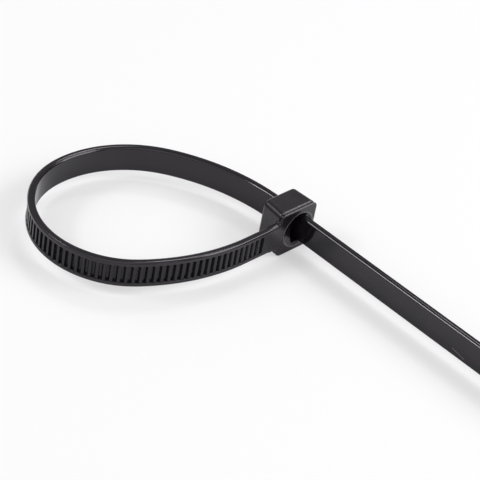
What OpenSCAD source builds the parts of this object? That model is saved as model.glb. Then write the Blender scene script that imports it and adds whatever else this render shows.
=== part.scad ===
// One-way cable tie, moulded in one piece and pulled into a loop, with its teeth outside.
// It lies on the narrow side of its head. +X runs along the slot, the way the tail comes out.
// The origin is on the bench, under the middle of the slot.

/* [Strap] */
// Width of the strap
strap_w = 7.6; // [5:0.2:9]
// Thickness of the strap over its rails
strap_t = 1.95; // [1.5:0.1:2.4]
// Length of the tie when it lies straight, from the head's far end to the tip
tie_length = 300; // [260:10:400]
// Radius of the strap's four long edges
edge_r = 0.35; // [0.1:0.05:0.6]
// Width of the plain rail on each side of the teeth
rail_w = 1.3; // [0.8:0.1:1.8]
// Length over which the tip narrows
tip_taper = 16; // [8:1:24]
// Width of the strap at its tip
tip_w = 4.6; // [3:0.2:5]
// Radius of the fillet where the strap leaves the head
root_r = 0.9; // [0.3:0.1:1.3]
// How much wider the strap gets towards the head
root_flare = 0.5; // [0.1:0.1:1]

/* [Teeth] */
// Distance from one tooth to the next
tooth_pitch = 1.75; // [1.3:0.05:2.5]
// Depth of the gaps between the teeth, below the rails
tooth_depth = 0.85; // [0.5:0.05:1.2]
// How far the tops of the teeth lie below the rails
tooth_drop = 0.12; // [0.02:0.02:0.3]
// Length of a tooth's flat top, along the strap
tooth_land = 0.7; // [0.3:0.05:1]
// Length of a tooth's slope on the side of the tip, along the strap
tooth_slope = 0.4; // [0.1:0.05:0.8]
// Plain pad between the head and the first gap
pad_length = 5.6; // [3:0.2:9]
// Plain stretch between the last tooth and the tip
plain_tip = 26; // [18:1:40]

/* [Loop] */
// Straight stretch of the strap where it leaves the head
near_lead = 11; // [9:0.2:14]
// Turn of the near flank, in degrees
near_turn = 31.6; // [26:0.2:40]
// Radius of the nose, the tightest bend, to the middle of the strap
nose_r = 23.2; // [18:0.2:32]
// Turn of the nose, in degrees
nose_turn = 140.4; // [120:0.4:150]
// Radius of the shoulder between the nose and the far flank
shoulder_r = 30.2; // [22:0.2:36]
// Turn of the shoulder, in degrees
shoulder_turn = 62.1; // [50:0.1:72]
// Straight stretch of the strap before it enters the slot
far_lead = 0.5; // [0.5:0.5:6]

/* [Head] */
// Length of the head, along the strap that leaves it
head_l = 12.85; // [11:0.1:16]
// Width of the head, across the strap
head_w = 13.2; // [11.4:0.2:16]
// Depth of the head, along the slot
head_d = 8; // [7:0.1:11]
// Distance from the strap's side of the head to the middle of the slot
slot_y = 8.2; // [7.4:0.1:8.6]
// How much the strap's side of the head leans in towards the back
near_draft = 0.95; // [0:0.05:1.6]
// How much the far end of the head leans in towards the back
far_draft = 0.45; // [0:0.05:1.4]
// Radius of the corners of the slotted face
corner_r = 1.5; // [0.4:0.1:1.8]
// Radius of the edges of the back face
back_r = 0.9; // [0.3:0.1:1.4]
// Thickness of the rim round the slotted face
rim_t = 0.45; // [0.3:0.05:0.9]
// Width of the groove behind the rim
rim_gap = 0.5; // [0.2:0.05:0.6]
// Depth of the groove behind the rim
rim_groove = 0.25; // [0.1:0.05:0.4]
// Clearance of the strap in the slot
slot_clear = 0.3; // [0.2:0.05:0.5]
// Room in the slot beside the strap's smooth face
slot_room = 1.6; // [1.1:0.05:1.8]
// Radius of the round funnel at its mouth
funnel_r = 5; // [4:0.1:5.1]
// Depth of the funnel in its middle
funnel_depth = 1.2; // [0.4:0.05:1.5]
// Distance from the middle of the slot to the middle of the funnel
funnel_shift = 1.3; // [1.1:0.1:1.8]

/* [Pawl] */
// Thickness of the pawl at its hinge
pawl_t = 0.9; // [0.6:0.05:1.3]
// Width of the pawl, across the strap
pawl_w = 4.6; // [3.6:0.1:5]
// Gap between the pawl's teeth and the strap
pawl_clear = 0.12; // [0.08:0.02:0.2]
// Gap on each side of the pawl and behind it
pawl_slit = 0.5; // [0.3:0.05:0.7]
// Depth of the pawl's own teeth
pawl_bite = 0.45; // [0.2:0.05:0.6]
// Number of teeth on the pawl
pawl_teeth = 2; // [1:1:2]
// Length of the wall between the slotted face and the pawl's hinge
hinge_depth = 2.6; // [2:0.1:3.2]

/* [Hidden] */
$fn = 48;
eps = 0.01;
// Depth by which joined solids run into each other
bury = 0.5;
// Finest turn between two stations of a bend, in degrees
bend_step = 3;

// Faces of the head
face_x = head_d / 2;
back_x = -head_d / 2;
near_y = -slot_y;
far_y = head_l - slot_y;

// The strap runs in the middle of the head's width, its toothed face flush with the slotted face
strap_z = (head_w - strap_w) / 2;
root_x = face_x - strap_t / 2;
tooth_w = strap_w - 2 * rail_w;
root_w = strap_w + root_flare;
root_z = (head_w - root_w) / 2;

// Walls of the slot
slot_far = strap_t / 2 + slot_clear;
slot_near = -strap_t / 2 - slot_room;
slot_w = strap_w + 2 * slot_clear;

// The whole loop turns by three quarters, so the far flank takes what is left
loop_turn = 270;
far_turn = loop_turn - near_turn - nose_turn - shoulder_turn;

// Way across the plan, for a radius of 1, of a bend that turns right from one heading to another
function bend_way(from, to) = [sin(from) - sin(to), cos(to) - cos(from)];

// Headings between the bends: out of the head along -Y, into the slot along +X
heading_0 = -90;
heading_1 = heading_0 - near_turn;
heading_2 = heading_1 - nose_turn;
heading_3 = heading_2 - shoulder_turn;
heading_4 = heading_3 - far_turn;

// The radii of both flanks follow from the way that is left for them, so the loop always closes
near_way = bend_way(heading_0, heading_1);
far_way = bend_way(heading_3, heading_4);
left_way = [back_x - far_lead - root_x, near_lead + slot_y]
    - nose_r * bend_way(heading_1, heading_2)
    - shoulder_r * bend_way(heading_2, heading_3);
way_area = near_way.x * far_way.y - near_way.y * far_way.x;
near_r = (left_way.x * far_way.y - left_way.y * far_way.x) / way_area;
far_r = (near_way.x * left_way.y - near_way.y * left_way.x) / way_area;

// Stretches of the strap, from the head to the tip, as [length, turn]
function bend(r, turn) = [r * turn * PI / 180, turn];
loop = [
    [near_lead, 0],
    bend(near_r, near_turn),
    bend(nose_r, nose_turn),
    bend(shoulder_r, shoulder_turn),
    bend(far_r, far_turn),
    [far_lead, 0]
];
function total(list, i = 0) = i < len(list) ? list[i][0] + total(list, i + 1) : 0;
loop_length = total(loop);
strap_run = tie_length - head_l;
stretches = concat(loop, [[strap_run - loop_length, 0]]);

// Where each stretch starts, as [distance along the strap, x, y, heading]
function after(pose, stretch, run) =
    let(
        turn = stretch[1] * run / stretch[0],
        r = turn == 0 ? 0 : run / (turn * PI / 180),
        h = pose[3],
        way = turn == 0 ? run * [cos(h), sin(h)] : r * bend_way(h, h - turn)
    )
    [pose[0] + run, pose[1] + way.x, pose[2] + way.y, h - turn];
function poses(pose, i) =
    i == len(stretches) ? [] : concat([pose], poses(after(pose, stretches[i], stretches[i][0]), i + 1));
starts = poses([0, root_x, near_y, heading_0], 0);

// Point beside the strap's middle line, at a distance along it; out is towards the toothed side
function stretch_at(s) = max([for (i = [0:len(starts) - 1]) if (i == 0 || starts[i][0] <= s) i]);
function beside(s, out) =
    let(i = stretch_at(s), p = after(starts[i], stretches[i], s - starts[i][0]))
    [p[1] - out * sin(p[3]), p[2] + out * cos(p[3])];

// Distances along the strap at which its outline needs a point between two ends
stations = [
    for (i = [0:len(stretches) - 1])
        let(steps = max(1, ceil(stretches[i][1] / bend_step)))
        for (k = [0:steps - 1])
            starts[i][0] + stretches[i][0] * k / steps
];
function between(a, b) = concat([a], [for (s = stations) if (s > a + eps && s < b - eps) s], [b]);
function backwards(list) = [for (i = [len(list) - 1:-1:0]) list[i]];
function side(a, b, out) = [for (s = between(a, b)) beside(s, out)];

// Line of the teeth, from the first gap to the last
tooth_top = strap_t / 2 - tooth_drop;
gap_floor = strap_t / 2 - tooth_depth;
gap_length = tooth_pitch - tooth_land;
gap_count = floor((strap_run - plain_tip - pad_length) / tooth_pitch);
function gap_start(k) = pad_length + k * tooth_pitch;
teeth_end = gap_start(gap_count - 1) + gap_length;
toothed_side = [
    for (k = [0:gap_count - 1])
        let(s = gap_start(k))
        each [
            beside(s, tooth_top),
            beside(s + tooth_slope, gap_floor),
            beside(s + gap_length, gap_floor),
            beside(s + gap_length, tooth_top)
        ]
];

// Section across the strap: x to the toothed side, y up; every width gets the same number of points
corner_steps = 3;
function section(w) =
    let(r = min(edge_r, w / 3))
    [
        for (corner = [0:3])
            for (k = [0:corner_steps])
                let(
                    angle = 90 * (corner + k / corner_steps),
                    side_x = corner == 0 || corner == 3 ? 1 : -1,
                    side_y = corner < 2 ? 1 : -1
                )
                [
                    side_x * (strap_t / 2 - r) + r * cos(angle),
                    side_y * (w / 2 - r) + r * sin(angle)
                ]
    ];

// Width of the strap: it flares towards the head and narrows to a half round at the tip
tip_r = tip_w / 2;
function flare_at(s) = root_flare * pow(max(0, 1 - s / pad_length), 2);
function width_at(s) =
    let(to_tip = strap_run - s)
    to_tip >= tip_taper ? strap_w + flare_at(s)
    : to_tip >= tip_r ? tip_w + (strap_w - tip_w) * (to_tip - tip_r) / (tip_taper - tip_r)
    : 2 * sqrt(tip_r * tip_r - (tip_r - to_tip) * (tip_r - to_tip));

// Distances along the strap at which it gets a ring of points, closer together at the root and the tip
flare_steps = 5;
tip_steps = 6;
ring_runs = concat(
    [-bury],
    [for (k = [0:flare_steps - 1]) pad_length * k / flare_steps],
    between(pad_length, strap_run - tip_taper),
    [for (k = [0:tip_steps - 1]) strap_run - tip_r * (1 - sin(85 * k / (tip_steps - 1)))]
);

module strap_blank() {
    rings = [
        for (s = ring_runs)
            [for (p = section(width_at(s))) [each beside(s, p.x), head_w / 2 + p.y]]
    ];
    n = len(rings[0]);
    last = n * (len(rings) - 1);
    polyhedron(
        points = [for (ring = rings) each ring],
        faces = concat(
            [[for (j = [0:n - 1]) j]],
            [
                for (i = [0:len(rings) - 2], j = [0:n - 1])
                    [i * n + j, (i + 1) * n + j, (i + 1) * n + (j + 1) % n, i * n + (j + 1) % n]
            ],
            [[for (j = [n - 1:-1:0]) last + j]]
        )
    );
}

// What is cut out between the two rails: the gaps, and a little off the tops of the teeth
module teeth_cutter() {
    translate([0, 0, strap_z + rail_w])
        linear_extrude(tooth_w)
            polygon(concat(side(pad_length, teeth_end, strap_t / 2 + bury), backwards(toothed_side)));
}

module strap() {
    difference() {
        strap_blank();
        teeth_cutter();
    }
}

// Fillet in a corner of two walls along +X and +Y
module corner_fillet(r) {
    difference() {
        translate([-bury, -bury])
            square(r + bury);
        translate([r, r])
            circle(r);
    }
}

module root_fillets() {
    // On both edges of the strap, in the plane of the slotted face
    for (up = [0, 1])
        translate([root_x - strap_t / 2, near_y, root_z + up * root_w])
            mirror([0, 0, 1 - up])
                rotate([90, 0, 90])
                    linear_extrude(strap_t)
                        mirror([1, 0])
                            corner_fillet(root_r);
    // Behind the strap, on its smooth face
    translate([root_x - strap_t / 2, near_y, root_z])
        mirror([1, 0, 0])
            mirror([0, 1, 0])
                linear_extrude(root_w)
                    corner_fillet(root_r);
}

// Outline of the head from above: its walls lean in towards the back
module head_plan() {
    intersection() {
        offset(r = back_r)
            offset(delta = -back_r)
                polygon([
                    [face_x, near_y],
                    [face_x + head_d, near_y],
                    [face_x + head_d, far_y],
                    [face_x, far_y],
                    [back_x, far_y - far_draft],
                    [back_x, near_y + near_draft]
                ]);
        translate([back_x, near_y])
            square([head_d, head_l]);
    }
}

// Outline of the head along the slot
module head_front() {
    offset(r = corner_r)
        offset(delta = -corner_r)
            translate([near_y, 0])
                square([head_l, head_w]);
}

// Outline of the head along the strap that leaves it
module head_side() {
    intersection() {
        offset(r = back_r)
            offset(delta = -back_r)
                translate([back_x, 0])
                    square([2 * head_d, head_w]);
        translate([back_x, 0])
            square([head_d, head_w]);
    }
}

module along_slot(from, length) {
    translate([from, 0, 0])
        rotate([90, 0, 90])
            linear_extrude(length)
                children();
}

module head_block() {
    intersection() {
        linear_extrude(head_w)
            head_plan();
        along_slot(back_x, head_d)
            head_front();
        translate([0, far_y, 0])
            rotate([90, 0, 0])
                linear_extrude(head_l)
                    head_side();
    }
}

module rim_groove_cutter() {
    along_slot(face_x - rim_t - rim_gap, rim_gap)
        difference() {
            offset(delta = bury)
                head_front();
            offset(delta = -rim_groove)
                head_front();
        }
}

module slot_cutter() {
    translate([back_x - bury, slot_near, (head_w - slot_w) / 2])
        cube([head_d + 2 * bury, slot_far - slot_near, slot_w]);
}

// The funnel is a shallow cap of a ball, sunk in the slotted face
module funnel_cutter() {
    ball_r = (funnel_r * funnel_r + funnel_depth * funnel_depth) / (2 * funnel_depth);
    translate([face_x - funnel_depth + ball_r, -funnel_shift, head_w / 2])
        sphere(ball_r, $fn = 160);
}

// The pawl hangs in a chamber that is open to the slot and to the back
pawl_tip_y = -strap_t / 2 - pawl_clear;
hinge_x = face_x - hinge_depth;
chamber_y = slot_near - pawl_t - pawl_slit;
chamber_w = pawl_w + 2 * pawl_slit;

module chamber_cutter() {
    translate([back_x - bury, chamber_y, (head_w - chamber_w) / 2])
        cube([hinge_x - back_x + bury, slot_near - chamber_y + bury, chamber_w]);
}

module pawl() {
    // Its teeth have the strap's own pitch and slope up to the free end
    tip_x = back_x + pawl_slit;
    valley_y = pawl_tip_y - pawl_bite;
    bites = [
        for (k = [pawl_teeth:-1:0])
            let(x = tip_x + k * tooth_pitch)
            each [if (k < pawl_teeth) [x, pawl_tip_y], if (k > 0) [x, valley_y]]
    ];
    outline = concat(
        [[hinge_x + bury, slot_near], [hinge_x, slot_near]],
        bites,
        [
            [tip_x, valley_y - pawl_t / 2],
            [hinge_x, slot_near - pawl_t],
            [hinge_x + bury, slot_near - pawl_t]
        ]
    );
    translate([0, 0, (head_w - pawl_w) / 2])
        linear_extrude(pawl_w)
            polygon(outline);
}

module head() {
    difference() {
        head_block();
        rim_groove_cutter();
        funnel_cutter();
        slot_cutter();
        chamber_cutter();
    }
    pawl();
}

module cable_tie() {
    color("#26242a") {
        head();
        strap();
        root_fillets();
    }
}

cable_tie();
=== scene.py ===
import math
from functools import partial

import bmesh
import bpy
import numpy as np
from mathutils import Matrix, Vector


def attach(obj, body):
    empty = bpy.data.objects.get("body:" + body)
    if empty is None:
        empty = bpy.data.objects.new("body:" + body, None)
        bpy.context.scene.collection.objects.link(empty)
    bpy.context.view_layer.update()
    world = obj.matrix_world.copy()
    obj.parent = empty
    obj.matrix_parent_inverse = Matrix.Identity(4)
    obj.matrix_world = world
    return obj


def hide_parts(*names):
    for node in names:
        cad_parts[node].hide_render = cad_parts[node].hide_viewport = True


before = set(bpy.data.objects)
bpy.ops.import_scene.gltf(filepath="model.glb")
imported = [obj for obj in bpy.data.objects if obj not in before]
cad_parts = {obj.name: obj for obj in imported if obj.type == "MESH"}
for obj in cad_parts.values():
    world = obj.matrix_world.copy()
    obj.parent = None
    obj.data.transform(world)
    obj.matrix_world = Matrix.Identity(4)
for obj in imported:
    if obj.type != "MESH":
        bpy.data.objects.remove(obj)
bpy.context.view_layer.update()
mm = 0.001


def tone(value):
    # linear value of a screen tone from 0 to 255
    c = value / 255
    return c / 12.92 if c <= 0.04045 else ((c + 0.055) / 1.055) ** 2.4


def rgb(r, g, b):
    return (tone(r), tone(g), tone(b), 1.0)


def newNode(tree, kind, place=(0, 0), **sockets):
    # sockets are set by name, with _ for a blank
    made = tree.nodes.new(kind)
    made.location = place
    for name, value in sockets.items():
        made.inputs[name.replace("_", " ")].default_value = value
    return made


def feed(tree, socket, value):
    # another node's output is linked, a plain value goes into the socket itself
    if isinstance(value, bpy.types.NodeSocket):
        tree.links.new(value, socket)
    elif value is not None:
        socket.default_value = value


def maths(tree, operation, a, b=None, clamp=False):
    made = newNode(tree, "ShaderNodeMath")
    made.operation = operation
    made.use_clamp = clamp
    feed(tree, made.inputs[0], a)
    feed(tree, made.inputs[1], b)
    return made.outputs[0]


def vectorMaths(tree, operation, a, b=None, scale=None):
    made = newNode(tree, "ShaderNodeVectorMath")
    made.operation = operation
    feed(tree, made.inputs[0], a)
    feed(tree, made.inputs[1], b)
    if scale is not None:
        feed(tree, made.inputs["Scale"], scale)
    return made.outputs["Value" if operation in ("DOT_PRODUCT", "LENGTH") else "Vector"]


def remap(tree, value, fromLow, fromHigh, toLow=0.0, toHigh=1.0):
    made = newNode(tree, "ShaderNodeMapRange")
    for name, level in (("Value", value), ("From Min", fromLow), ("From Max", fromHigh),
                        ("To Min", toLow), ("To Max", toHigh)):
        feed(tree, made.inputs[name], level)
    return made.outputs["Result"]


def newObject(name, data):
    made = bpy.data.objects.new(name, data)
    bpy.context.scene.collection.objects.link(made)
    return made


# Camera, in millimetres and degrees: found from the edges of the loop and the head in the photograph

camera = {
    "place": (217.843, -281.427, 262.704),
    "heading": 129.617,   # way it looks, in plan, from +X
    "down": 36.750,
    "roll": 10.855,       # the picture's content leans clockwise by this
    "lens": 128.1,
    "sensor": 36.0,
    "near": 10.0,         # nothing closer than this is seen
}


def makeCamera(spec):
    data = bpy.data.cameras.new("camera")
    data.lens = spec["lens"]
    data.sensor_width = spec["sensor"]
    data.clip_start = spec["near"] * mm
    made = newObject("camera", data)
    heading, down, roll = (math.radians(spec[key]) for key in ("heading", "down", "roll"))
    turn = (
        Matrix.Rotation(heading - math.pi / 2, 4, "Z")
        @ Matrix.Rotation(math.pi / 2 - down, 4, "X")
        @ Matrix.Rotation(roll, 4, "Z")
    )
    made.matrix_world = Matrix.Translation(Vector(spec["place"]) * mm) @ turn
    bpy.context.scene.camera = made


makeCamera(camera)
print("camera set")


# Stage, in metres: pale floor, soft surroundings, five soft lamps

stage = {
    "floorSize": 6.0,
    "floorTone": rgb(241, 241, 241),
    "floorRough": 0.75,
    "floorGloss": 0.2,
    "lift": 0.42,         # share of plain white in what the camera sees of the floor; it lights nothing
    "liftTone": rgb(251, 251, 251),
    # brightness of the surroundings on four sides, by the side's angle from +X;
    # values for heights whose sine is 0, 0.25, 0.5, 0.75 and 1, in parts of skyPower
    "sky": {
        -50: (0.05, 0.06, 0.7, 1.0, 0.25),
        40: (0.06, 0.12, 0.1, 0.25, 0.25),
        130: (0.8, 0.1, 0.24, 0.3, 0.25),
        220: (0.1, 0.22, 0.85, 0.25, 0.25),
    },
    "skyPower": 1.62,
    "skyTint": (0.98, 0.965, 1.0, 1.0),
    "seenSky": 1.0,       # strength of the sky where the camera looks past the floor
}
lamps = {
    "key": {"from": (0.65, 0.42, 0.63), "distance": 1.2, "size": (0.60, 0.60), "power": 6.2},
    "rear": {"from": (0.46, 0.66, 0.58), "distance": 1.2, "size": (0.36, 0.36), "power": 1.19},
    "back": {"from": (-0.30, 0.48, 0.82), "distance": 1.2, "size": (0.24, 0.24), "power": 1.9},
    "edge": {"from": (-0.45, -0.61, 0.65), "distance": 1.2, "size": (0.46, 0.18), "power": 3.33},
    "side": {"from": (0.93, -0.10, 0.36), "distance": 1.2, "size": (0.24, 0.24), "power": 0.67},
}


def makeFloor(spec):
    half = spec["floorSize"] / 2
    corners = [(-half, -half, 0), (half, -half, 0), (half, half, 0), (-half, half, 0)]
    mesh = bpy.data.meshes.new("floor")
    mesh.from_pydata(corners, [], [(0, 1, 2, 3)])
    floor = newObject("floor", mesh)
    paint = bpy.data.materials.new("floorPaint")
    paint.use_nodes = True
    tree = paint.node_tree
    shader = tree.nodes["Principled BSDF"]
    shader.inputs["Base Color"].default_value = spec["floorTone"]
    shader.inputs["Roughness"].default_value = spec["floorRough"]
    shader.inputs["Specular IOR Level"].default_value = spec["floorGloss"]
    # plain white mixed in for camera rays only, so that the shadows stay as soft as the photograph's
    rays = newNode(tree, "ShaderNodeLightPath", (-400, 300))
    share = maths(tree, "MULTIPLY", rays.outputs["Is Camera Ray"], spec["lift"])
    white = newNode(tree, "ShaderNodeEmission", (-200, -300), Color=spec["liftTone"])
    both = newNode(tree, "ShaderNodeMixShader", (400, 0))
    for socket, value in zip(both.inputs, (share, shader.outputs[0], white.outputs[0])):
        feed(tree, socket, value)
    tree.links.new(both.outputs[0], tree.nodes["Material Output"].inputs["Surface"])
    mesh.materials.append(paint)


def makeSky(spec):
    world = bpy.data.worlds.new("studio")
    bpy.context.scene.world = world
    world.use_nodes = True
    tree = world.node_tree
    link = tree.links.new
    calc = partial(maths, tree)
    way = newNode(tree, "ShaderNodeTexCoord", (-1400, 0))
    parts = newNode(tree, "ShaderNodeSeparateXYZ", (-1200, 0))
    link(way.outputs["Generated"], parts.inputs[0])
    x, y, z = parts.outputs
    level = calc("SQRT", calc("SUBTRACT", 1.0, calc("MULTIPLY", z, z)))
    light = 0.0
    for side, values in spec["sky"].items():
        # a side's share is the squared cosine of the way to it, in plan
        a = math.radians(side)
        reach = calc("ADD", calc("MULTIPLY", x, math.cos(a)), calc("MULTIPLY", y, math.sin(a)))
        share = calc("DIVIDE", reach, level, clamp=True)
        share = calc("MULTIPLY", share, share)
        heights = newNode(tree, "ShaderNodeValToRGB")
        stops = heights.color_ramp.elements
        while len(stops) < len(values):
            stops.new(0.5)
        for k, value in enumerate(values):
            stops[k].position = k / (len(values) - 1)
            stops[k].color = (value, value, value, 1)
        link(z, heights.inputs["Fac"])
        light = calc("ADD", light, calc("MULTIPLY", share, heights.outputs["Color"]))
    rays = newNode(tree, "ShaderNodeLightPath", (-600, 300))
    seen = newNode(tree, "ShaderNodeMix", (-300, 100), B=spec["seenSky"])
    link(rays.outputs["Is Camera Ray"], seen.inputs["Factor"])
    link(calc("MULTIPLY", light, spec["skyPower"]), seen.inputs["A"])
    link(seen.outputs["Result"], tree.nodes["Background"].inputs["Strength"])
    tree.nodes["Background"].inputs["Color"].default_value = spec["skyTint"]


def makeLamp(name, spec):
    data = bpy.data.lights.new(name, "AREA")
    data.shape = "RECTANGLE"
    data.size, data.size_y = spec["size"]
    data.energy = spec["power"]
    made = newObject(name, data)
    way = Vector(spec["from"]).normalized()
    made.location = way * spec["distance"]
    made.rotation_euler = way.to_track_quat("Z", "Y").to_euler()


makeFloor(stage)
makeSky(stage)
for name, spec in lamps.items():
    makeLamp(name, spec)
bpy.context.scene.view_settings.view_transform = "Standard"
print("stage and lamps set")


# Black nylon, satin, with the small unevenness of a moulding

nylon = {
    "dark": rgb(12, 13, 14),
    "light": rgb(24, 19, 23),
    "patch": 6.0,                     # size of the cloudy patches, mm
    "patchNoise": (3.0, 0.55),        # detail and roughness of their noise
    "patchRange": (0.35, 0.68),       # where the patches turn from dark to light
    "bed": rgb(32, 31, 33),           # colour between the rails
    "gloss": 0.5,
    "bedGloss": 0.3,
    "bedFrom": 0.6,                   # share of a gap's depth at which the gloss starts to fall
    "paintedHighlight": rgb(128, 124, 128),       # painted highlight: fine light line laid on the head's lips
    "paintedHighlightShare": 0.75,
    "glossRange": (0.3, 0.7),         # part of the cloud that the roughness follows
    "strapRough": (0.07, 0.12),
    "headRough": (0.2, 0.3),          # the head's faces are duller than the strap's
    "ior": 1.475,
    "tint": (0.965, 0.915, 1.0, 1.0), # the gloss has a faint violet cast
    "grain": 0.22,                    # size of the fine grain, mm
    "grainNoise": (2.0, 0.5),
    "grainDepth": 0.004,              # mm
    "grainStrength": 0.5,
    # the one light scratch, low on the tail's smooth side: ends (x, z) and half width in mm
    "scratch": {
        "start": (56.9, 4.95),
        "end": (60.9, 4.2),
        "wide": 0.13,
        "core": 0.3,                  # share of the half width that has the full colour
        "colour": rgb(98, 92, 97),
    },
}


def scratchMask(tree, place, spec):
    # 1 on the scratch: distance from its line in the plane of the strap's side
    ends = [Vector((x, 0, z)) * mm for x, z in (spec["start"], spec["end"])]
    way = ends[1] - ends[0]
    flat = vectorMaths(tree, "MULTIPLY", place, (1, 0, 1))
    off = vectorMaths(tree, "SUBTRACT", flat, ends[0])
    along = remap(tree, vectorMaths(tree, "DOT_PRODUCT", off, way), 0, way.length_squared)
    nearest = vectorMaths(tree, "SCALE", way, scale=along)
    apart = vectorMaths(tree, "LENGTH", vectorMaths(tree, "SUBTRACT", off, nearest))
    return remap(tree, apart, spec["core"] * spec["wide"] * mm, spec["wide"] * mm, 1, 0)


def makeNylon(spec):
    paint = bpy.data.materials.new("blackNylon")
    paint.use_nodes = True
    tree = paint.node_tree
    link = tree.links.new
    shader = tree.nodes["Principled BSDF"]
    shader.inputs["IOR"].default_value = spec["ior"]
    shader.inputs["Specular Tint"].default_value = spec["tint"]
    place = newNode(tree, "ShaderNodeTexCoord", (-1200, 0)).outputs["Object"]

    def noise(size, detail, roughness):
        made = newNode(tree, "ShaderNodeTexNoise", Scale=1 / (size * mm), Detail=detail, Roughness=roughness)
        link(place, made.inputs["Vector"])
        return made.outputs["Fac"]

    def onPoints(name):
        made = newNode(tree, "ShaderNodeAttribute")
        made.attribute_name = name
        return made.outputs["Fac"]

    def blend(kind, amount, under, over):
        made = newNode(tree, "ShaderNodeMix")
        made.data_type = kind
        for name, value in (("Factor", amount), ("A", under), ("B", over)):
            feed(tree, made.inputs[name], value)
        return made.outputs["Result"]

    # colour: patches, then the beds of the gaps, the painted highlights along the head's lips and rim, and
    # the scratch over them
    cloud = noise(spec["patch"], *spec["patchNoise"])
    patches = newNode(tree, "ShaderNodeValToRGB", (-600, 300))
    for stop, at, name in zip(patches.color_ramp.elements, spec["patchRange"], ("dark", "light")):
        stop.position = at
        stop.color = spec[name]
    link(cloud, patches.inputs["Fac"])
    bed = onPoints("bed")
    # painted highlight: a light colour laid on the head's lips and rim where they would catch light
    paintedHighlight = maths(tree, "MULTIPLY", onPoints("paintedHighlight"), spec["paintedHighlightShare"])
    colour = blend("RGBA", bed, patches.outputs["Color"], spec["bed"])
    colour = blend("RGBA", paintedHighlight, colour, spec["paintedHighlight"])
    colour = blend("RGBA", scratchMask(tree, place, spec["scratch"]), colour, spec["scratch"]["colour"])
    link(colour, shader.inputs["Base Color"])

    # gloss: weaker in the gaps, rougher on the head
    gloss = remap(tree, bed, spec["bedFrom"], 1.0, spec["gloss"], spec["bedGloss"])
    link(gloss, shader.inputs["Specular IOR Level"])
    rough = [remap(tree, cloud, *spec["glossRange"], *spec[name]) for name in ("strapRough", "headRough")]
    link(blend("FLOAT", onPoints("onHead"), *rough), shader.inputs["Roughness"])

    bump = newNode(tree, "ShaderNodeBump", (-300, -200),
                   Strength=spec["grainStrength"], Distance=spec["grainDepth"] * mm)
    link(noise(spec["grain"], *spec["grainNoise"]), bump.inputs["Height"])
    link(bump.outputs["Normal"], shader.inputs["Normal"])
    return paint


blackNylon = makeNylon(nylon)
print("nylon mixed")


# Strap, in millimetres: one sweep along the loop, with the gaps between the teeth sunk into it

strap = {
    "width": 7.6,
    "thick": 1.935,
    "edge": 0.3,           # width of the bevel along the four long edges, on each side
    "edgeRound": 0.2,      # radius of the bevel's own edges
    "edgeSteps": 3,
    "crown": 0.1,          # how far the narrow faces fall off from their middle
    "crownRows": (0.55, 0.7, 0.84),   # depths of the points between a bevel and the middle
    "shoulder": 0.09,      # extra fall of the narrow faces beside the smooth side
    "shoulderEnd": 0.7,    # depth at which the shoulder ends
    "shoulderFade": 0.3,
    "guard": 0.05,         # flat strip beside a round edge, which keeps its shading off the face
    "rail": 1.3,
    "railEdge": 0.25,      # radius of a rail's inner edge
    "railSteps": 4,
    "railWall": 0.02,      # lean of a gap's end at the rail
    "pitch": 1.75,
    "deep": 0.85,          # floor of a gap below the rails
    "drop": 0.12,          # top of a tooth below the rails
    "land": 0.7,           # flat top of a tooth
    "slope": 0.4,
    "wall": 0.06,          # lean of a tooth's steep side
    "pad": 5.6,            # plain stretch before the first gap
    "padWall": 0.02,       # lean of the step at the pad's end
    "padRings": 4,
    "flare": 0.5,          # how much wider the strap gets along the pad, towards the head
    "plainTip": 26.0,
    "tipTaper": 16.0,
    "taperRings": 4,
    "tipWidth": 4.6,
    "tipRings": 12,
    "tipTurn": 86,         # degrees of the half round at which the last ring closes the tip
    "whole": 287.1,        # from the head's side to the tip
    "middle": 6.6,         # height of the middle of the strap
    "cut": 2.6,            # the head's own mesh reaches this far along the strap
}
route = {
    "root": (3.025, -8.2), # middle of the strap where it leaves the head
    "rootHeading": -90.0,
    "nearLead": 11.0,
    "nearTurn": 31.6,
    "noseRadius": 23.2,
    "noseTurn": 140.4,
    "shoulderRadius": 30.2,
    "shoulderTurn": 62.1,
    "allTurns": 270.0,     # from the root to the slot
    "farLead": 0.5,
    "slotBack": -4.0,      # where the strap enters the slot, on y = 0
}


def bendWay(start, end):
    # way across the plan of a right-hand bend of radius 1 between two headings
    a, b = math.radians(start), math.radians(end)
    return np.array([math.sin(a) - math.sin(b), math.cos(b) - math.cos(a)])


def routeStretches(spec):
    # length and turn of each stretch; both flanks get the radii that close the loop
    turns = [spec["nearTurn"], spec["noseTurn"], spec["shoulderTurn"]]
    turns.append(spec["allTurns"] - sum(turns))
    headings = [spec["rootHeading"] - sum(turns[:k]) for k in range(5)]
    slotStart = spec["slotBack"] - spec["farLead"]
    left = np.array([slotStart - spec["root"][0], spec["nearLead"] - spec["root"][1]])
    left -= spec["noseRadius"] * bendWay(headings[1], headings[2])
    left -= spec["shoulderRadius"] * bendWay(headings[2], headings[3])
    ways = np.array([bendWay(headings[0], headings[1]), bendWay(headings[3], headings[4])]).T
    nearRadius, farRadius = np.linalg.solve(ways, left)
    radii = [nearRadius, spec["noseRadius"], spec["shoulderRadius"], farRadius]
    bends = [(r * math.radians(t), t) for r, t in zip(radii, turns)]
    return [(spec["nearLead"], 0)] + bends + [(spec["farLead"], 0)]


def routePoint(run, stretches, spec):
    # point of the strap's middle line at a distance from the head; past the last stretch it runs straight on
    place, heading = np.array(spec["root"], float), spec["rootHeading"]
    for index, (length, turn) in enumerate(stretches):
        last = index == len(stretches) - 1
        part = run if last or run < length else length
        if turn:
            radius = length / math.radians(turn)
            after = heading - turn * part / length
            place = place + radius * bendWay(heading, after)
            heading = after
        else:
            a = math.radians(heading)
            place = place + part * np.array([math.cos(a), math.sin(a)])
        run -= part
        if last or run <= 0:
            return place


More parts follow.
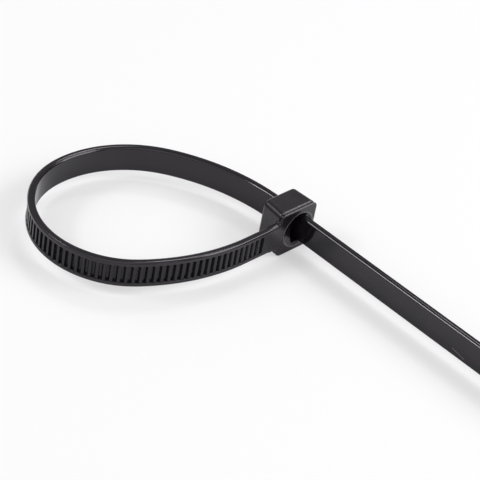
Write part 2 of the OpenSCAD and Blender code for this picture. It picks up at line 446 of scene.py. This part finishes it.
def teethSpan(spec):
    # length of a gap, number of gaps, and where the last one ends
    gap = spec["pitch"] - spec["land"]
    count = math.floor((spec["whole"] - spec["plainTip"] - spec["pad"]) / spec["pitch"])
    return gap, count, spec["pad"] + (count - 1) * spec["pitch"] + gap


def strapRuns(spec):
    # distances from the head at which the strap needs a ring
    gap, count, teethEnd = teethSpan(spec)
    runs = {spec["cut"], spec["pad"] - spec["padWall"], teethEnd}
    padStep = (spec["pad"] - spec["cut"]) / (spec["padRings"] + 1)
    runs.update(spec["cut"] + padStep * k for k in range(1, spec["padRings"] + 1))
    for k in range(count):
        start = spec["pad"] + k * spec["pitch"]
        runs.update(start + along for along in (0, spec["slope"], gap - spec["wall"], gap))
    tipRadius = spec["tipWidth"] / 2
    taperStep = (spec["tipTaper"] - tipRadius) / spec["taperRings"]
    runs.update(spec["whole"] - tipRadius - taperStep * k for k in range(1, spec["taperRings"] + 1))
    for k in range(spec["tipRings"] + 1):
        a = math.radians(spec["tipTurn"] * k / spec["tipRings"])
        runs.add(spec["whole"] - tipRadius * (1 - math.sin(a)))
    return sorted(runs)


def curveObject(name, points):
    data = bpy.data.curves.new(name, "CURVE")
    data.dimensions = "3D"
    line = data.splines.new("POLY")
    line.points.add(len(points) - 1)
    line.points.foreach_set("co", [c for p in points for c in (*p, 1.0)])
    return newObject(name, data)


def bevelCorner(spec):
    # from a wide face round to a narrow one: (in from the wide face, in from the narrow face)
    bevel, r = spec["edge"], spec["edgeRound"]
    reach = bevel + r * math.tan(math.radians(22.5))
    angles = np.radians(np.linspace(0, 45, spec["edgeSteps"] + 1))
    arc = [(r - r * math.cos(a), reach - r * math.sin(a)) for a in angles]
    back = [(b, a) for a, b in reversed(arc)]
    return [(0.0, reach + spec["guard"])] + arc + back + [(reach + spec["guard"], 0.0)]


def narrowFall(inside, spec, smooth):
    # how far a narrow face lies below its middle, at a depth from the wide face
    fall = spec["crown"] * (1 - inside / (spec["thick"] / 2)) ** 2
    if smooth:
        fall = fall + spec["shoulder"] * np.clip((spec["shoulderEnd"] - inside) / spec["shoulderFade"], 0, 1)
    return fall


def strapSection(spec):
    # points round the strap as (out, up, sink): sink is the share of a gap's depth that a point takes
    halfT, halfW = spec["thick"] / 2, spec["width"] / 2
    rows = bevelCorner(spec) + [(depth, 0.0) for depth in spec["crownRows"]]

    def edge(outSide, upSide):
        return [(outSide * (halfT - i), upSide * (halfW - j - narrowFall(i, spec, outSide < 0)), 0.0)
                for i, j in rows]

    inner = halfW - spec["rail"]
    lip = spec["railEdge"]
    toothed = [(halfT, -inner - lip - spec["guard"], 0.0)]
    for a in np.radians(np.linspace(0, 90, spec["railSteps"] + 1)):
        toothed.append((halfT, -inner - lip + lip * math.sin(a), lip * (1 - math.cos(a)) / spec["deep"]))
    toothed.append((halfT, -inner + spec["railWall"], 1.0))
    points = edge(1, -1)[::-1] + toothed
    points.extend((halfT, up * inner, 1.0) for up in (-0.5, 0.0, 0.5))
    points.extend((out, -up, sink) for out, up, sink in reversed(toothed))
    points += edge(1, 1)
    points.append((0.0, halfW, 0.0))
    points += edge(-1, 1)[::-1]
    points.extend((-halfT, up * halfW, 0.0) for up in (0.5, 0.0, -0.5))
    points += edge(-1, -1)
    points.append((0.0, -halfW, 0.0))
    return points


def sectionObject(spec):
    # closed line of edges, with every point's sink as the attribute bed
    points = strapSection(spec)
    mesh = bpy.data.meshes.new("strapSection")
    n = len(points)
    places = [(-out * mm, up * mm, 0) for out, up, sink in points]
    mesh.from_pydata(places, [(k, (k + 1) % n) for k in range(n)], [])
    sinks = mesh.attributes.new("bed", "FLOAT", "POINT")
    sinks.data.foreach_set("value", [sink for out, up, sink in points])
    return newObject("strapSection", mesh)


def strapTree():
    tree = bpy.data.node_groups.new("toothedStrap", "GeometryNodeTree")
    face = tree.interface
    face.new_socket(name="Geometry", in_out="OUTPUT", socket_type="NodeSocketGeometry")
    face.new_socket(name="Geometry", in_out="INPUT", socket_type="NodeSocketGeometry")
    face.new_socket(name="Section", in_out="INPUT", socket_type="NodeSocketObject")
    for name in ("First run", "Teeth start", "Teeth end", "Slack", "Pitch", "Gap", "Slope", "Wall", "Drop",
                 "Deep", "Whole", "Taper", "Tip radius", "Tip share", "Middle", "Flare"):
        face.new_socket(name=name, in_out="INPUT", socket_type="NodeSocketFloat")
    face.new_socket(name="Material", in_out="INPUT", socket_type="NodeSocketMaterial")
    link = tree.links.new
    calc = partial(maths, tree)
    size = newNode(tree, "NodeGroupInput", (-1600, 0)).outputs

    def store(geometry, name, value, kind="FLOAT"):
        made = newNode(tree, "GeometryNodeStoreNamedAttribute", Name=name)
        made.data_type = kind
        link(geometry, made.inputs["Geometry"])
        link(value, made.inputs["Value"])
        return made.outputs["Geometry"]

    def stored(name, kind="FLOAT"):
        made = newNode(tree, "GeometryNodeInputNamedAttribute", Name=name)
        made.data_type = kind
        return made.outputs["Attribute"]

    def moved(geometry, offset):
        made = newNode(tree, "GeometryNodeSetPosition")
        link(geometry, made.inputs["Geometry"])
        link(offset, made.inputs["Offset"])
        return made.outputs["Geometry"]

    # every point of the curve keeps its distance from the head and its heading
    length = newNode(tree, "GeometryNodeSplineParameter").outputs["Length"]
    heading = newNode(tree, "GeometryNodeInputTangent").outputs["Tangent"]
    line = store(size["Geometry"], "run", calc("ADD", length, size["First run"]))
    line = store(line, "way", heading, "FLOAT_VECTOR")
    upright = newNode(tree, "GeometryNodeSetCurveNormal")
    upright.mode = "Z_UP"
    link(line, upright.inputs["Curve"])

    section = newNode(tree, "GeometryNodeObjectInfo")
    link(size["Section"], section.inputs["Object"])
    sectionLine = newNode(tree, "GeometryNodeMeshToCurve")
    link(section.outputs["Geometry"], sectionLine.inputs["Mesh"])
    sweep = newNode(tree, "GeometryNodeCurveToMesh", Fill_Caps=True)
    link(upright.outputs["Curve"], sweep.inputs["Curve"])
    link(sectionLine.outputs["Curve"], sweep.inputs["Profile Curve"])

    # depth of the gaps: down the slope, up the steep wall of the next tooth
    here = stored("run")
    phase = calc("FLOORED_MODULO", calc("SUBTRACT", here, size["Teeth start"]), size["Pitch"])
    fall = remap(tree, phase, 0.0, size["Slope"])
    rise = remap(tree, phase, calc("SUBTRACT", size["Gap"], size["Wall"]), size["Gap"], 1.0, 0.0)
    extra = calc("SUBTRACT", size["Deep"], size["Drop"])
    depth = calc("ADD", size["Drop"], calc("MULTIPLY", calc("MINIMUM", fall, rise), extra))
    after = calc("GREATER_THAN", here, calc("SUBTRACT", size["Teeth start"], size["Slack"]))
    before = calc("LESS_THAN", here, calc("ADD", size["Teeth end"], size["Slack"]))
    depth = calc("MULTIPLY", depth, calc("MULTIPLY", after, before))
    across = vectorMaths(tree, "CROSS_PRODUCT", stored("way", "FLOAT_VECTOR"), (0, 0, 1))
    sink = vectorMaths(tree, "SCALE", across, scale=calc("MULTIPLY", depth, stored("bed")))
    toothed = moved(sweep.outputs["Mesh"], sink)

    # width: a cone and a half round at the tip, a flare along the pad
    left = calc("SUBTRACT", size["Whole"], here)
    cone = remap(tree, left, size["Tip radius"], size["Taper"], size["Tip share"], 1.0)
    short = calc("SUBTRACT", 1.0, calc("DIVIDE", left, size["Tip radius"]), clamp=True)
    halfRound = calc("SQRT", calc("SUBTRACT", 1.0, calc("MULTIPLY", short, short)))
    near = calc("SUBTRACT", 1.0, calc("DIVIDE", here, size["Teeth start"]), clamp=True)
    flare = calc("MULTIPLY", size["Flare"], calc("MULTIPLY", near, near))
    share = calc("ADD", calc("MULTIPLY", cone, halfRound), flare)
    parts = newNode(tree, "ShaderNodeSeparateXYZ")
    link(newNode(tree, "GeometryNodeInputPosition").outputs["Position"], parts.inputs[0])
    height = calc("SUBTRACT", parts.outputs["Z"], size["Middle"])
    lift = newNode(tree, "ShaderNodeCombineXYZ")
    link(calc("MULTIPLY", height, calc("SUBTRACT", share, 1.0)), lift.inputs["Z"])
    shaped = moved(toothed, lift.outputs["Vector"])

    real = newNode(tree, "GeometryNodeRealizeInstances", (1000, 0))
    link(shaped, real.inputs["Geometry"])
    dress = newNode(tree, "GeometryNodeSetMaterial", (1200, 0))
    link(real.outputs["Geometry"], dress.inputs["Geometry"])
    link(size["Material"], dress.inputs["Material"])
    link(dress.outputs["Geometry"], newNode(tree, "NodeGroupOutput", (1400, 0)).inputs["Geometry"])
    return tree


def setInputs(modifier, values):
    # inputs by their socket's identifier
    names = {item.name: item.identifier for item in modifier.node_group.interface.items_tree
             if item.item_type == "SOCKET" and item.in_out == "INPUT"}
    for name, value in values.items():
        modifier[names[name]] = value


def plainMesh(made):
    # the evaluated result as a mesh of its own
    bpy.context.view_layer.update()
    graph = bpy.context.evaluated_depsgraph_get()
    return bpy.data.meshes.new_from_object(made.evaluated_get(graph), depsgraph=graph)


def makeStrap(spec, way):
    stretches = routeStretches(way)
    height = spec["middle"] * mm
    points = [(*(routePoint(run, stretches, way) * mm), height) for run in strapRuns(spec)]
    line = curveObject("strapRoute", points)
    section = sectionObject(spec)
    modifier = line.modifiers.new("teeth", "NODES")
    modifier.node_group = strapTree()
    gap, count, teethEnd = teethSpan(spec)
    setInputs(modifier, {
        "Section": section,
        "First run": spec["cut"] * mm,
        "Teeth start": spec["pad"] * mm,
        "Teeth end": teethEnd * mm,
        "Slack": spec["padWall"] / 2 * mm,
        "Pitch": spec["pitch"] * mm,
        "Gap": gap * mm,
        "Slope": spec["slope"] * mm,
        "Wall": spec["wall"] * mm,
        "Drop": spec["drop"] * mm,
        "Deep": spec["deep"] * mm,
        "Whole": spec["whole"] * mm,
        "Taper": spec["tipTaper"] * mm,
        "Tip radius": spec["tipWidth"] / 2 * mm,
        "Tip share": spec["tipWidth"] / spec["width"],
        "Middle": height,
        "Flare": spec["flare"] / spec["width"],
        "Material": blackNylon,
    })
    mesh = plainMesh(line)
    bpy.data.objects.remove(line)
    bpy.data.objects.remove(section)
    print("strap swept with", count, "gaps:", len(mesh.vertices), "points")
    return mesh


strapMesh = makeStrap(strap, route)


# Head, in millimetres: a field of rounded distances, meshed

head = {
    "front": 4.0,
    "back": -4.0,
    "near": -8.2,          # strap's side at the slotted face
    "far": 4.65,
    "nearDraft": 0.95,     # both sides lean in by this towards the back
    "farDraft": 0.45,
    "top": 13.2,
    "corner": 1.7,         # radius of the corners round the slotted face
    "lowCorner": 2.1,      # radius of the corner under the strap's root
    "backEdge": 1.0,
    "frontEdge": 0.32,
    "rootFillet": 0.9,
    "rootDeep": 1.5,       # how far the root reaches into the head
    "rootRun": 1.2,        # the flare goes on into the head up to this share of the pad
    "rim": 0.36,           # thickness of the rim
    "groove": 0.66,        # width of the groove behind it
    "grooveDeep": 0.32,
    "grooveCorner": 0.1,
    "grooveLip": 0.17,
    "dish": 5.0,           # radius of the dish round the slot's mouth
    "dishDeep": 1.2,
    "dishShift": 1.3,      # the dish's middle lies this far towards the root
    "bead": 0.22,          # radius of the fine bead round the dish
    "beadProud": 0.09,
    "beadInset": 0.6,      # the bead ends this far inside the outline
    "beadFillet": 0.06,
    "lip": 0.14,           # radius of the lips of the dish and the slot
    "slotRoom": 1.6,       # room for the pawl beside the strap
    "slotClear": 0.3,
    "slotCorner": 0.3,
    "chamberCorner": 0.2,
    "chamberLap": 1.0,     # how far the pawl's chamber opens into the slot
    "chamberLip": 0.1,
    "pawlWidth": 4.6,
    "pawlThick": 0.9,
    "pawlClear": 0.12,     # between the pawl's teeth and the strap
    "pawlSlit": 0.5,       # gap round the pawl
    "pawlBite": 0.45,      # height of the pawl's teeth
    "pawlTeeth": 2,
    "pawlEdge": 0.12,
    "pawlFillet": 0.15,
    "hinge": 2.6,          # depth of the pawl's hinge behind the front
    "hingeDeep": 0.5,      # how far the pawl reaches into the body there
    "cell": 0.165,         # size of the mesh's cells
    "margin": 0.5,         # plain room round the head in the meshed box
    "pastCut": 0.6,        # the root's stub is meshed this far past the cut
    "smoothUnder": 38,     # edges under this many degrees are shaded smooth
    # painted highlights, a light colour on lines that would catch light: outside the dish, behind the front
    # and behind the groove
    "paintedHighlightWide": 0.13,      # half width
    "paintedHighlightDish": 0.05,
    "paintedHighlightRim": 0.12,
    "paintedHighlightGroove": 0.05,
    "paintedHighlightTop": 0.85,       # strength of the lines on the top face
    "frontBand": 0.2,      # points within this depth count as the slotted face's
    "topBand": 0.3,        # points within this depth count as the top face's
}


def roundMax(a, b, r):
    # both at once, with an edge of radius r
    return np.minimum(np.maximum(a, b), -r) + np.hypot(np.maximum(a + r, 0), np.maximum(b + r, 0))


def roundMin(a, b, r):
    # either, with a fillet of radius r
    return -roundMax(-a, -b, r)


def slab(v, low, high):
    return np.abs(v - (low + high) / 2) - (high - low) / 2


def polygonDistance(x, y, corners):
    corners = np.array(corners, float)
    best = np.full(x.shape, 1e9)
    within = np.zeros(x.shape, bool)
    for a, b in zip(corners, np.roll(corners, -1, axis=0)):
        d = b - a
        t = np.clip(((x - a[0]) * d[0] + (y - a[1]) * d[1]) / (d @ d), 0, 1)
        best = np.minimum(best, np.hypot(x - a[0] - t * d[0], y - a[1] - t * d[1]))
        crosses = (a[1] > y) != (b[1] > y)
        step = np.where(crosses, (y - a[1]) / (d[1] if d[1] else 1e-9), 0)
        within ^= crosses & (x < a[0] + step * d[0])
    return np.where(within, -best, best)


def outlineField(x, y, z, spec):
    # four sides of the head, two of them leaning in towards the back
    depth, middle = spec["front"] - spec["back"], spec["top"] / 2
    leanNear, leanFar = spec["nearDraft"] / depth, spec["farDraft"] / depth
    behind = spec["front"] - x
    sideNear = (spec["near"] + leanNear * behind - y) / math.hypot(1, leanNear)
    sideFar = (y - spec["far"] + leanFar * behind) / math.hypot(1, leanFar)
    sides = np.maximum(sideNear, sideFar)
    flats = np.abs(z - middle) - middle
    low = (y < 0) & (z < middle)
    return np.where(low, roundMax(sides, flats, spec["lowCorner"]), roundMax(sides, flats, spec["corner"]))


def blockField(x, outline, spec):
    # outline and back, with the groove behind the rim
    block = roundMax(outline, spec["back"] - x, spec["backEdge"])
    groove = slab(spec["front"] - x, spec["rim"], spec["rim"] + spec["groove"])
    groove = roundMax(groove, -outline - spec["grooveDeep"], spec["grooveCorner"])
    return roundMax(block, -groove, spec["grooveLip"])


def rootField(x, y, z, spec, tie):
    # strap's root, in the open towards -Y, with the same edges as the strap's
    smoothFace = spec["front"] - tie["thick"] - x
    run = np.clip(1 - (spec["near"] - y) / tie["pad"], 0, spec["rootRun"])
    inside = np.clip(-smoothFace, 0, tie["thick"])
    narrow = np.abs(z - spec["top"] / 2) - tie["width"] / 2 - tie["flare"] / 2 * run ** 2
    narrow = narrow + narrowFall(inside, tie, smooth=True)
    bevel = (smoothFace + narrow + tie["edge"]) / math.sqrt(2)
    root = roundMax(roundMax(smoothFace, bevel, tie["edgeRound"]), narrow, tie["edgeRound"])
    return np.maximum(root, y - spec["near"] - spec["rootDeep"])


def dishField(x, y, z, spec):
    # shallow round dish, part of a ball
    ball = (spec["dish"] ** 2 + spec["dishDeep"] ** 2) / (2 * spec["dishDeep"])
    ballX = spec["front"] - spec["dishDeep"] + ball
    return np.sqrt((x - ballX) ** 2 + (y + spec["dishShift"]) ** 2 + (z - spec["top"] / 2) ** 2) - ball


def beadField(x, y, z, outline, spec):
    ring = np.hypot(y + spec["dishShift"], z - spec["top"] / 2) - spec["dish"] - spec["bead"] / 2
    bead = np.hypot(ring, x - spec["front"] + spec["bead"] - spec["beadProud"]) - spec["bead"]
    return np.maximum(bead, outline + spec["beadInset"])


def pawlOutline(spec, tie, hingeX, slotNear):
    # tongue from the hinge to its tip, with teeth of the strap's own pitch
    tipX, crest = spec["back"] + spec["pawlSlit"], -tie["thick"] / 2 - spec["pawlClear"]
    valley = crest - spec["pawlBite"]
    rootX = hingeX + spec["hingeDeep"]
    corners = [(rootX, slotNear), (hingeX, slotNear)]
    for k in range(spec["pawlTeeth"], -1, -1):
        if k < spec["pawlTeeth"]:
            corners.append((tipX + k * tie["pitch"], crest))
        if k:
            corners.append((tipX + k * tie["pitch"], valley))
    corners.append((tipX, valley - spec["pawlThick"] / 2))
    return corners + [(hingeX, slotNear - spec["pawlThick"]), (rootX, slotNear - spec["pawlThick"])]


def headField(p, spec, tie):
    # distance from the head's surface, below 0 inside
    x, y, z = p[..., 0], p[..., 1], p[..., 2]
    aside = np.abs(z - spec["top"] / 2)
    outline = outlineField(x, y, z, spec)
    body = roundMin(blockField(x, outline, spec), rootField(x, y, z, spec, tie), spec["rootFillet"])
    body = roundMax(body, x - spec["front"], spec["frontEdge"])
    body = roundMax(body, -dishField(x, y, z, spec), spec["lip"])
    body = roundMin(body, beadField(x, y, z, outline, spec), spec["beadFillet"])
    slotNear = -tie["thick"] / 2 - spec["slotRoom"]
    slotFar = tie["thick"] / 2 + spec["slotClear"]
    slotSides = aside - tie["width"] / 2 - spec["slotClear"]
    slot = roundMax(slab(y, slotNear, slotFar), slotSides, spec["slotCorner"])
    body = roundMax(body, -slot, spec["lip"])
    # chamber behind the pawl, open to the slot and to the back
    hingeX = spec["front"] - spec["hinge"]
    chamberNear = slotNear - spec["pawlThick"] - spec["pawlSlit"]
    chamberFar = slotNear + spec["chamberLap"]
    chamberSides = aside - spec["pawlWidth"] / 2 - spec["pawlSlit"]
    chamber = roundMax(slab(y, chamberNear, chamberFar), chamberSides, spec["chamberCorner"])
    chamber = roundMax(chamber, x - hingeX, spec["chamberCorner"])
    body = roundMax(body, -chamber, spec["chamberLip"])
    pawl = polygonDistance(x, y, pawlOutline(spec, tie, hingeX, slotNear))
    pawl = roundMax(pawl, aside - spec["pawlWidth"] / 2, spec["pawlEdge"])
    return roundMin(body, pawl, spec["pawlFillet"])


def pull(field, points, h=0.01, flattest=0.25, most=0.1):
    # step from each point back to the surface, along the field's slope
    value = field(points)
    slope = np.stack([(field(points + h * e) - field(points - h * e)) / (2 * h) for e in np.eye(3)], -1)
    steep = np.maximum((slope ** 2).sum(-1), flattest)
    return np.clip(value / steep, -most, most)[:, None] * slope


def netMesh(field, low, high, cell, pulls=4):
    # one point in each cell that the surface crosses, joined across the crossed grid lines
    axes = [np.arange(a, b + cell, cell) for a, b in zip(low, high)]
    grid = np.stack(np.meshgrid(*axes, indexing="ij"), -1)
    values = field(grid)
    inside = values < 0
    shape = tuple(n - 1 for n in inside.shape)
    total, count = np.zeros(shape + (3,)), np.zeros(shape)
    for axis in range(3):
        a, b = [k for k in range(3) if k != axis]
        for da, db in ((0, 0), (0, 1), (1, 0), (1, 1)):
            start = [slice(0, n) for n in shape]
            start[a] = slice(da, da + shape[a])
            start[b] = slice(db, db + shape[b])
            end = list(start)
            end[axis] = slice(1, 1 + shape[axis])
            v0, v1 = values[tuple(start)], values[tuple(end)]
            crossed = (v0 < 0) != (v1 < 0)
            t = np.where(crossed, v0 / np.where(crossed, v0 - v1, 1), 0)
            p = grid[tuple(start)].copy()
            p[..., axis] += t * cell
            total += np.where(crossed[..., None], p, 0)
            count += crossed
    used = count > 0
    number = np.full(shape, -1)
    number[used] = np.arange(used.sum())
    points = total[used] / count[used][:, None]
    for _ in range(pulls):
        points = points - pull(field, points)
    faces = []
    for axis in range(3):
        a, b = [k for k in range(3) if k != axis]
        lowSide = [slice(1, n) for n in shape]
        lowSide[axis] = slice(0, shape[axis])
        nextSide = list(lowSide)
        nextSide[axis] = slice(1, 1 + shape[axis])
        within, beyond = inside[tuple(lowSide)], inside[tuple(nextSide)]
        where = np.argwhere(within != beyond)
        flip = within[tuple(where.T)] ^ (axis == 1)
        corners = []
        for da, db in ((0, 0), (1, 0), (1, 1), (0, 1)):
            cells = where.copy()
            cells[:, a] += da
            cells[:, b] += db
            corners.append(number[tuple(cells.T)])
        quad = np.stack(corners, -1)
        quad[~flip] = quad[~flip][:, ::-1]
        faces.append(quad)
    return points, np.concatenate(faces)


def makeHead(spec, tie):
    def field(p):
        return headField(p, spec, tie)

    room = spec["margin"]
    low = (spec["back"] - room, spec["near"] - tie["cut"] - spec["pastCut"], -room)
    high = (spec["front"] + room, spec["far"] + room, spec["top"] + room)
    points, faces = netMesh(field, low, high, spec["cell"])
    mesh = bpy.data.meshes.new("head")
    mesh.from_pydata((points * mm).tolist(), [], faces.tolist())
    mesh.update()
    return mesh


headMesh = makeHead(head, strap)
print("head meshed:", len(headMesh.vertices), "points")


# Body: head and strap joined in one skin

def joinMeshes(headPart, strapPart, cutY):
    # cut the head's stub flat, open the strap's end and bridge the two rings
    made = bmesh.new()
    made.from_mesh(headPart)
    everything = made.verts[:] + made.edges[:] + made.faces[:]
    cut = (0, cutY * mm, 0)
    bmesh.ops.bisect_plane(made, geom=everything, plane_co=cut, plane_no=(0, -1, 0), clear_outer=True)
    headEdge = [e for e in made.edges if e.is_boundary]
    for v in made.verts:
        v.tag = True
    made.from_mesh(strapPart)
    # the strap's end is its one face with many corners at the cut
    ends = [f for f in made.faces if not f.verts[0].tag and len(f.verts) > 8
            and abs(f.calc_center_median().y - cutY * mm) < 0.1 * mm]
    bmesh.ops.delete(made, geom=ends, context="FACES_ONLY")
    strapEdge = [e for e in made.edges if e.is_boundary and e not in headEdge]
    print("rings joined:", len(headEdge), len(strapEdge))
    bmesh.ops.bridge_loops(made, edges=headEdge + strapEdge)
    bmesh.ops.recalc_face_normals(made, faces=made.faces[:])
    mesh = bpy.data.meshes.new("cable_tie_body")
    made.to_mesh(mesh)
    made.free()
    return mesh


def markPoints(mesh, spec, tie, cutY):
    # onHead is 1 on the head and fades along the root; the painted-highlight mask is 1 on the lines where
    # light is painted into the colour
    spots = np.empty(len(mesh.vertices) * 3)
    mesh.vertices.foreach_get("co", spots)
    x, y, z = spots.reshape(-1, 3).T / mm
    middle = spec["top"] / 2
    inSlot = (np.abs(y) < tie["thick"] / 2 + 0.001) & (np.abs(z - middle) < tie["width"] / 2)
    beside = (np.abs(x) < spec["front"] + spec["frontBand"]) & ~inSlot
    onHead = np.clip((y - cutY) / tie["cut"], 0, 1) * beside
    behind = spec["front"] - x

    def line(distance):
        return np.exp(-(distance / spec["paintedHighlightWide"]) ** 2)

    # painted highlight mask: a line round the dish, and two across the top face behind the rim and behind
    # the groove
    dishEdge = spec["dish"] + spec["paintedHighlightDish"]
    paintedHighlight = line(np.hypot(y + spec["dishShift"], z - middle) - dishEdge) * (behind < spec["frontBand"])
    topFace = (z > spec["top"] - spec["topBand"]) & (onHead > 0.99)
    for at in (spec["paintedHighlightRim"], spec["rim"] + spec["groove"] + spec["paintedHighlightGroove"]):
        paintedHighlight = np.maximum(paintedHighlight, spec["paintedHighlightTop"] * line(behind - at) * topFace)
    for name, values in (("onHead", onHead), ("paintedHighlight", paintedHighlight * (onHead > 0.5))):
        mesh.attributes.new(name, "FLOAT", "POINT").data.foreach_set("value", values)


def makeBody(spec, tie):
    cutY = spec["near"] - tie["cut"]
    mesh = joinMeshes(headMesh, strapMesh, cutY)
    markPoints(mesh, spec, tie, cutY)
    mesh.materials.clear()
    mesh.materials.append(blackNylon)
    mesh.shade_smooth()
    mesh.set_sharp_from_angle(angle=math.radians(spec["smoothUnder"]))
    return newObject("cable_tie_body", mesh)


body = makeBody(head, strap)
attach(body, "root")
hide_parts("cable_tie")
print("body joined:", len(body.data.polygons), "faces")
